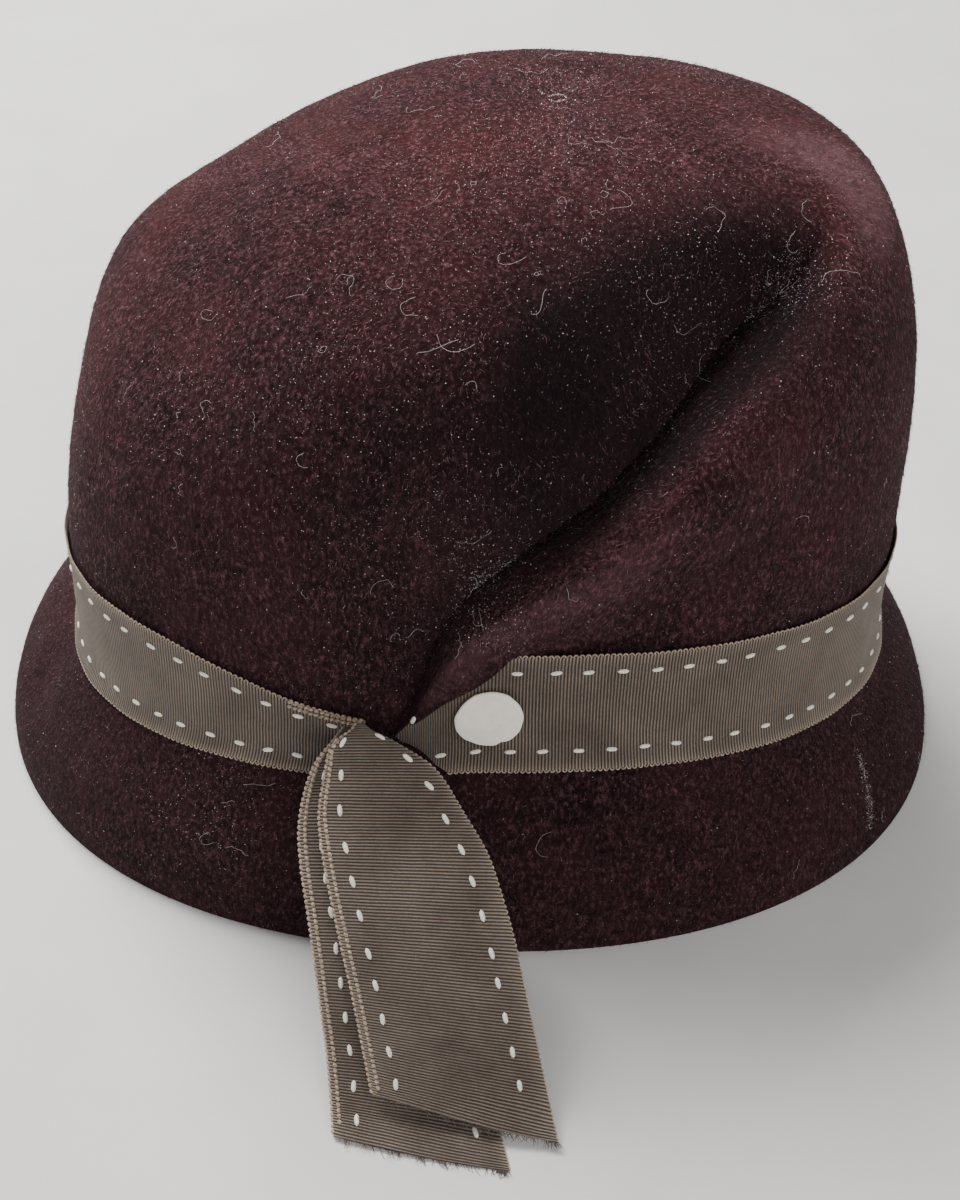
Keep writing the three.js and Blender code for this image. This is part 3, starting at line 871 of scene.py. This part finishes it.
def onHood(column, row):
    # place, outward way and level way on the hood's own mesh
    count = len(hoodTurns)
    k = np.floor(column).astype(int)
    j = np.clip(np.floor(row).astype(int), 0, len(hoodRises) - 2)
    a, b = (column - k)[..., None], (row - j)[..., None]
    k, n = k % count, (k + 1) % count

    def read(grid):
        lower = grid[j, k] * (1 - a) + grid[j, n] * a
        return lower * (1 - b) + (grid[j + 1, k] * (1 - a) + grid[j + 1, n] * a) * b

    return read(hoodOuter), unit(read(hoodNormal)), unit(read(hoodAlong))


def cellSize(column, row):
    # millimetres to the next column and to the next row
    here = onHood(column, row)[0]
    return reach(onHood(column + 1, row)[0] - here), reach(onHood(column, row + 1)[0] - here)


def hoodSpots(made, count):
    # places spread evenly over the outside of the hood
    over = reach(np.roll(hoodOuter, -1, 1) - hoodOuter)[:-1]
    up = reach(np.diff(hoodOuter, axis=0))
    share = (over * up).ravel()
    row, column = np.divmod(made.choice(share.size, count, p=share / share.sum()), len(hoodTurns))
    return column + made.random(count), row + made.random(count)


def uncovered(point, row):
    rise = np.interp(row, np.arange(len(hoodRises)), hoodRises)
    low, high = nap["clear"]
    left, right = nap["tailSide"]
    under = (point[:, 0] > left) & (point[:, 0] < right) & (point[:, 1] < 0) & (rise < high)
    return ((rise < low) | (rise > high)) & ~under


def makeNap(name, style, finish, wanted=None):
    made = np.random.default_rng(style["seed"])
    column, row = hoodSpots(made, style["count"])
    point, normal, level = onHood(column, row)
    chance = wanted(point, column, row) if wanted else 1.0
    keep = uncovered(point, row) & (made.random(len(row)) < chance)
    point, normal, level = point[keep], normal[keep], level[keep]
    count = len(point)
    swirl = nap["swirl"] * lumps(point, *nap["waves"])
    angle = nap["comb"] + swirl + made.normal(size=count) * nap["stray"]
    climb = np.cross(normal, level)
    way = level * np.cos(angle)[:, None] + climb * np.sin(angle)[:, None]
    beside = np.cross(normal, way)
    length = made.uniform(*style["length"], size=(count, 1))
    tilt = np.abs(made.normal(size=(count, 1))) * style["tilt"] + nap["leastTilt"]
    tip = point + way * length + normal * length * tilt
    half = beside * style["wide"] / 2
    root = point - normal * style["wide"]
    slivers(name, np.stack([point - half, point + half, root, tip], 1), finish)
    return count


brushAndLight = {
    "skip": 4, "ridge": 3, "middle": 0.35, "patchy": 1.4, "waves": ((17, 23, 31, 13, 41), 21),
    "least": 0.06, "tallFrom": 0.35, "tallMost": 0.5, "low": 0.22, "tall": 1.1,
}


def brushedAndLitUp(point, column, row):
    # pale hairs show in brushed patches, and as painted highlight along the rolled ridge and towards the
    # top
    skip = brushAndLight["skip"]
    foldGrid = foldShadeAndHighlight(hoodTurns[::skip], hoodRises[::skip, None])
    j = np.minimum((row / skip).astype(int), foldGrid.shape[0] - 1)
    k = np.minimum((column % len(hoodTurns) / skip).astype(int), foldGrid.shape[1] - 1)
    ridge = np.clip(foldGrid[j, k] * brushAndLight["ridge"], 0, 1)
    patch = np.clip(brushAndLight["middle"] + brushAndLight["patchy"] * lumps(point, *brushAndLight["waves"]), brushAndLight["least"], 1)
    # more pale hairs higher up, as painted light from above
    tall = np.clip(point[:, 2] / hood["height"] - brushAndLight["tallFrom"], 0, brushAndLight["tallMost"])
    return np.clip(patch * (brushAndLight["low"] + brushAndLight["tall"] * tall) + ridge, 0, 1)


napDark = napFinish("napDark", (0.005, 0.0025, 0.0033), (0.046, 0.016, 0.019))
napSheen = napFinish("napSheen", (0.045, 0.018, 0.022), (0.360, 0.180, 0.205))
lowCount = makeNap("napLow", nap["low"], napDark)
paleCount = makeNap("napPale", nap["pale"], napSheen, brushedAndLitUp)
print("nap made", lowCount, paleCount)


# lint: pale specks and thin curled fibres caught in the nap

lint = {
    "specks": 12500, "speck": (0.06, 0.19), "fibres": 110, "places": 20, "length": (2.5, 11.0),
    "thick": 0.027, "curl": 0.20, "seeds": (77, 78), "speckLift": (0.15, 0.55),
    "speckShape": (0.7, 1.3), "fibreLift": (0.3, 0.7), "sway": 0.25, "swayStep": 0.7,
    "swayShift": 9, "wander": 0.16, "bendKept": 0.93, "bendNew": 0.07,
}
# turn, rise, reach in millimetres and share of the specks and fibres
lintSpots = np.array([
    (271, 5.8, 24, 0.05),
    (262, 6.8, 32, 0.06),
    (318, 10.0, 24, 0.05),
    (299, 9.2, 26, 0.04),
    (296, 10.9, 26, 0.04),
    (250, 10.2, 46, 0.08),
    (243, 11.6, 34, 0.06),
    (284, 12.4, 34, 0.07),
    (90, 12.8, 26, 0.04),
    (232, 8.6, 34, 0.06),
    (240, 2.1, 20, 0.03),
])
scuff = {"turns": (323.8, 321.6), "rises": (2.25, 0.75), "specks": 420, "wide": 0.38}


def lintPlaces(made, count):
    column, row = hoodSpots(made, count)
    first = 0
    for turn, rise, wide, share in lintSpots:
        some = int(share * count)
        middleColumn, middleRow = hoodCell(turn, rise)
        here = slice(first, first + some)
        perColumn, perRow = cellSize(np.array([middleColumn]), np.array([middleRow]))
        column[here] = middleColumn + made.normal(size=some) * wide / 2 / perColumn
        up = made.normal(size=some) * wide / 2 / perRow
        row[here] = np.clip(middleRow + up, 0, len(hoodRises) - 2)
        first += some
    keep = uncovered(onHood(column, row)[0], row)
    return column[keep], row[keep]


def makeSpecks():
    made = np.random.default_rng(lint["seeds"][0])
    column, row = lintPlaces(made, lint["specks"])
    share = made.random(scuff["specks"])
    turn = np.interp(share, (0, 1), scuff["turns"]) + made.normal(size=len(share)) * scuff["wide"]
    scuffColumn, scuffRow = hoodCell(turn, np.interp(share, (0, 1), scuff["rises"]))
    column, row = np.append(column, scuffColumn), np.append(row, scuffRow)
    point, normal, level = onHood(column, row)
    point = point + normal * made.uniform(*lint["speckLift"], size=(len(point), 1))
    size = made.uniform(*lint["speck"], size=(len(point), 1, 1))
    size = size * made.uniform(*lint["speckShape"], size=(len(point), 4, 1))
    ways = unit(made.normal(size=(len(point), 4, 3)))
    slivers("lintSpecks", point[:, None] + ways * size, lintFinish)


def makeFibres():
    made = np.random.default_rng(lint["seeds"][1])
    column, row = lintPlaces(made, lint["fibres"])
    count, places = len(column), lint["places"]
    length = made.uniform(*lint["length"], size=count)
    heading = made.uniform(0, 2 * math.pi, size=count)
    bend = made.normal(size=count) * lint["curl"]
    height = made.uniform(*lint["fibreLift"], size=count)
    paths, ways = [], []
    perColumn, perRow = cellSize(column, row)
    for step in range(places):
        point, normal, level = onHood(column, np.clip(row, 0, len(hoodRises) - 2))
        sway = np.sin(step * lint["swayStep"] + bend * lint["swayShift"])
        paths.append(point + normal * (height + lint["sway"] * sway)[:, None])
        ways.append(normal)
        heading = heading + bend + made.normal(size=count) * lint["wander"]
        bend = bend * lint["bendKept"] + made.normal(size=count) * lint["bendNew"]
        column = column + length / places * np.cos(heading) / perColumn
        row = row + length / places * np.sin(heading) / perRow
    tubes("lintFibres", np.stack(paths, 1), np.stack(ways, 1), np.full((count, places), lint["thick"]),
          lintFinish, sides=4)


makeSpecks()
makeFibres()
print("lint made")

bandPiece = slab("grosgrainBand", "ribbon_band", bandSurface, ribbon["across"], ribbon["along"],
                 grosgrain, bandRun)
frontPiece, frontLong = makeTail("tailFront", grosgrain)
backPiece, backLong = makeTail("tailBack", grosgrain)
print("ribbon made", round(bandLong), round(frontLong), round(backLong))


# running stitches

stitch = {
    "inset": 5.3, "pitch": 8.0, "stray": 0.04, "lift": 0.02, "tilt": 0.10,
    "size": (2.9, 1.15, 0.85), "bandStarts": (3.0, 7.0), "bandEnd": 3.0, "tailEnds": (6.0, 4.0),
}
# places that a line along the band or a tail is read at
bandSteps = 1500
tailSteps = 300


def stitchRow(name, surface, v, steps, start, end):
    line, outward = surfaceLine(surface, v, steps)
    centres, along, out = spread(line, stitch["pitch"], start, end, outward, stitch["stray"])
    centres = centres + out * (ribbon["thick"] / 2 + stitch["lift"])
    tilt = strayDice.normal(size=(len(along), 1)) * stitch["tilt"]
    along = unit(along + np.cross(out, along) * tilt)
    return beads(name, centres, along, out, stitch["size"], stitchThread)


inset = stitch["inset"] / ribbon["width"]
for label, share, start in zip(("Foot", "Head"), (inset, 1 - inset), stitch["bandStarts"]):
    row = "Stitch" + label
    stitchRow("band" + row, bandSurface, share, bandSteps, start, stitch["bandEnd"])
    for name, tail in tails.items():
        surface = tailSurface(tail)
        stitchRow(name + row, surface, share, tailSteps, *stitch["tailEnds"])


# woven loops along the ribbon's edges

edge = {
    "beadPitch": 1.30, "beadEnds": (0.4, 0.2), "beadStray": 0.03, "beadTurn": 0.35,
    "loopPitch": 1.42, "loopEnds": (0.6, 0.4), "loopStray": 0.02, "loopPast": 0.35,
    "loopWide": 0.36, "loopReach": 0.75, "loopBack": 0.15, "loopThick": 0.20, "loopSteps": 8,
    "rope": (1.35, 0.95, 0.80), "fine": (1.15, 0.65, 0.55), "curlShare": 0.955,
    "curlPart": (0.972, 1.0), "curlSteps": 200, "curlLifts": (0.45, 0.2), "innerShare": 0.042,
    "innerPart": (0.0, 0.985), "innerLift": 0.3,
}


def beadRow(name, surface, v, steps, size, part=(0.0, 1.0), raised=0.0):
    line, outward = surfaceLine(surface, v, steps, *part)
    centres, along, out = spread(line, edge["beadPitch"], *edge["beadEnds"], outward, edge["beadStray"])
    along = unit(along + np.cross(out, along) * edge["beadTurn"])
    centres = centres + out * raised
    return beads(name, centres, along, out, size, picotThread, sides=6, rings=3)


def loopRow(name, surface, v, steps):
    # round loops of the weft standing out past the ribbon's edge
    line, outward = surfaceLine(surface, v, steps)
    centres, along, out = spread(line, edge["loopPitch"], *edge["loopEnds"], outward, edge["loopStray"])
    away = np.cross(out, along) * (1 if v > 0.5 else -1)
    theta = np.linspace(-edge["loopPast"], math.pi + edge["loopPast"], edge["loopSteps"])
    side = along[:, None] * np.cos(theta)[:, None] * edge["loopPitch"] * edge["loopWide"]
    past = away[:, None] * (np.sin(theta)[:, None] * edge["loopReach"] - edge["loopBack"])
    paths = centres[:, None] + side + past
    radius = np.full(paths.shape[:2], edge["loopThick"])
    return tubes(name, paths, out[:, None], radius, picotThread)


rope, curlPart, curlSteps = edge["rope"], edge["curlPart"], edge["curlSteps"]
curlLift, curlEdgeLift = edge["curlLifts"]
loopPieces = [
    loopRow("bandLoopsFoot", bandSurface, 0.0, bandSteps),
    loopRow("bandLoopsHead", bandSurface, 1.0, bandSteps),
    beadRow("bandCurl", bandSurface, edge["curlShare"], curlSteps, rope, curlPart, curlLift),
    beadRow("bandCurlEdge", bandSurface, 1.0, curlSteps, rope, curlPart, curlEdgeLift),
]
for name, tail in tails.items():
    surface = tailSurface(tail)
    inner = (edge["innerShare"], tailSteps, rope, edge["innerPart"], edge["innerLift"])
    loopPieces.append(beadRow(name + "LoopsLeft", surface, 0.0, tailSteps, rope))
    loopPieces.append(beadRow(name + "LoopsInner", surface, *inner))
    loopPieces.append(beadRow(name + "LoopsRight", surface, 1.0, tailSteps, edge["fine"]))
print("edge loops made", len(loopPieces))


# frayed threads at the cut ends of the tails

fray = {
    "count": 110, "corner": 26, "cornerShare": 0.07, "back": 0.985, "places": 7,
    "length": (0.7, 2.6), "rooted": 0.3, "thick": 0.085, "taper": 0.6, "spread": 0.45,
    "bend": 0.30, "lift": 0.25, "lowest": 0.15,
}


def makeFray(name, surface, seed):
    made = np.random.default_rng(seed)
    count = fray["count"] + fray["corner"]
    v = made.random(count)
    v[fray["count"]:] = 1 - made.random(fray["corner"]) * fray["cornerShare"]
    end = surface(np.ones(count), v)
    back = surface(np.full(count, fray["back"]), v)
    beside = unit(edgeward(surface, np.ones(count), v))
    along = unit(end - back)
    out = unit(np.cross(along, beside))
    way = unit(along + beside * made.normal(size=(count, 1)) * fray["spread"])
    bend = made.normal(size=(count, 1, 1))
    share = np.linspace(0, 1, fray["places"])[:, None]
    length = made.uniform(*fray["length"], size=(count, 1, 1))
    paths = end[:, None] - along[:, None] * fray["rooted"] + way[:, None] * length * share
    paths = paths + beside[:, None] * bend * fray["bend"] * share ** 2 * length
    paths = paths + out[:, None] * made.normal(size=(count, 1, 1)) * fray["lift"] * share ** 1.5
    paths[..., 2] = np.maximum(paths[..., 2], fray["lowest"])
    thick = fray["thick"] * (1.0 - fray["taper"] * share[:, 0]) * np.ones((count, 1))
    return tubes(name, paths, out[:, None] + 0 * paths, thick, frayThread, sides=4)


frayPieces = [makeFray("tailFrontFray", tailSurface(tails["tailFront"]), 3),
              makeFray("tailBackFray", tailSurface(tails["tailBack"]), 4)]
print("frayed ends made")


# pale disc

disc = {
    "across": 15.6, "thick": 0.7, "turn": 271.2, "rise": 3.95, "lift": 1.55, "rings": 14,
    "sides": 96, "turnStep": 1, "riseStep": 0.2, "face": (0.06, 0.965),
    "rim": ((0.99, 0.8), (1.0, 0.45), (0.99, 0.1), (0.9, 0.0)), "notch": 0.05, "notchAngle": 5.1,
    "notchWide": 0.12, "ragged": ((0.006, 7, 0), (0.005, 13, 1)),
}


def makeDisc(finish):
    midTurn, midRise = np.array([disc["turn"]]), np.array([disc["rise"]])
    aside, apart = disc["turnStep"], disc["riseStep"]
    perTurn = reach(skin(midTurn + aside, midRise) - skin(midTurn - aside, midRise)) / (2 * aside)
    perRise = reach(skin(midTurn, midRise + apart) - skin(midTurn, midRise - apart)) / (2 * apart)
    angle = np.linspace(0, 2 * math.pi, disc["sides"], endpoint=False)
    notch = 1 - disc["notch"] * np.exp(-((angle - disc["notchAngle"]) / disc["notchWide"]) ** 2)
    ragged = notch * (1 + sum(lift * np.sin(angle * count + turn) for lift, count, turn in disc["ragged"]))
    profile = [(share, 1.0) for share in np.linspace(*disc["face"], disc["rings"])] + list(disc["rim"])
    points, columns = [], disc["sides"]
    for share, high in profile:
        radius = disc["across"] / 2 * share * ragged
        turn = midTurn + radius * np.cos(angle) / perTurn
        rise = midRise + radius * np.sin(angle) / perRise
        away = disc["lift"] + disc["thick"] * high
        settings = (turn, rise, 0.0, ribbon["underTuck"])
        points.append(skin(*settings) + skinNormal(*settings) * away)
    points = np.concatenate(points)
    faces = gridFaces(len(profile), columns, closed=True, flip=True)
    faces.append(tuple(range(columns)))
    start = (len(profile) - 1) * columns
    faces.append(tuple(range(start + columns - 1, start - 1, -1)))
    meshPiece("bandDisc", points, faces, finish, "band_disc")


makeDisc(discFinish())
print("disc made")


# floor, light and camera

studio = {
    "floorSize": 6.0, "floorColour": (0.72, 0.715, 0.70), "cameraAway": 0.425, "cameraRise": 44.0,
    "aim": (0.0035, -0.034, 0.060), "sensor": 36.0, "lens": 51.0, "near": 0.01, "lightAim": 0.08,
    "worldColour": (0.97, 0.975, 1.0, 1.0), "worldStrength": 0.32,
}
# name, place, size, power and colour
lights = (
    ("skyLeft", (-0.42, 0.60, 1.08), 0.7, 36, (1.0, 0.99, 0.97)),
    ("frontFill", (0.6, -1.2, 0.9), 1.2, 14, (1.0, 0.98, 0.96)),
)


def makeFloor():
    finish = Finish("paleFloor", {"Roughness": 0.85, "Specular IOR Level": 0.2})
    place = finish.place()
    cloud = finish.span(finish.noise(place, 60, 4, 0.6), 0.35, 0.65)
    base = studio["floorColour"]
    finish.shade("Base Color", finish.mix(cloud, tuple(c * 0.93 for c in base), base))
    half = studio["floorSize"] / 2
    mesh = bpy.data.meshes.new("floor")
    corners = [(-half, -half, 0), (half, -half, 0), (half, half, 0), (-half, half, 0)]
    mesh.from_pydata(corners, [], [(0, 1, 2, 3)])
    mesh.materials.append(finish.material)
    floor = bpy.data.objects.new("floor", mesh)
    bpy.context.scene.collection.objects.link(floor)


def areaLight(aim, name, place, size, power, colour):
    data = bpy.data.lights.new(name, "AREA")
    data.size = size
    data.energy = power
    data.color = colour
    light = bpy.data.objects.new(name, data)
    light.location = place
    light.rotation_euler = (Vector(aim) - Vector(place)).to_track_quat("-Z", "Y").to_euler()
    bpy.context.scene.collection.objects.link(light)


def makeCamera():
    rise = math.radians(studio["cameraRise"])
    aim = Vector(studio["aim"]) + Vector(hatMiddle.tolist())
    data = bpy.data.cameras.new("camera")
    data.sensor_width = studio["sensor"]
    data.lens = studio["lens"]
    data.clip_start = studio["near"]
    camera = bpy.data.objects.new("camera", data)
    camera.location = aim + studio["cameraAway"] * Vector((0, -math.cos(rise), math.sin(rise)))
    camera.rotation_euler = (math.pi / 2 - rise, 0, 0)
    bpy.context.scene.collection.objects.link(camera)
    bpy.context.scene.camera = camera


makeFloor()
for light in lights:
    areaLight((0, float(hatMiddle[1]), studio["lightAim"]), *light)
world = bpy.data.worlds.new("studio")
world.use_nodes = True
background = world.node_tree.nodes["Background"].inputs
background["Color"].default_value = studio["worldColour"]
background["Strength"].default_value = studio["worldStrength"]
bpy.context.scene.world = world
makeCamera()
print("stage made")

bpy.context.view_layer.update()
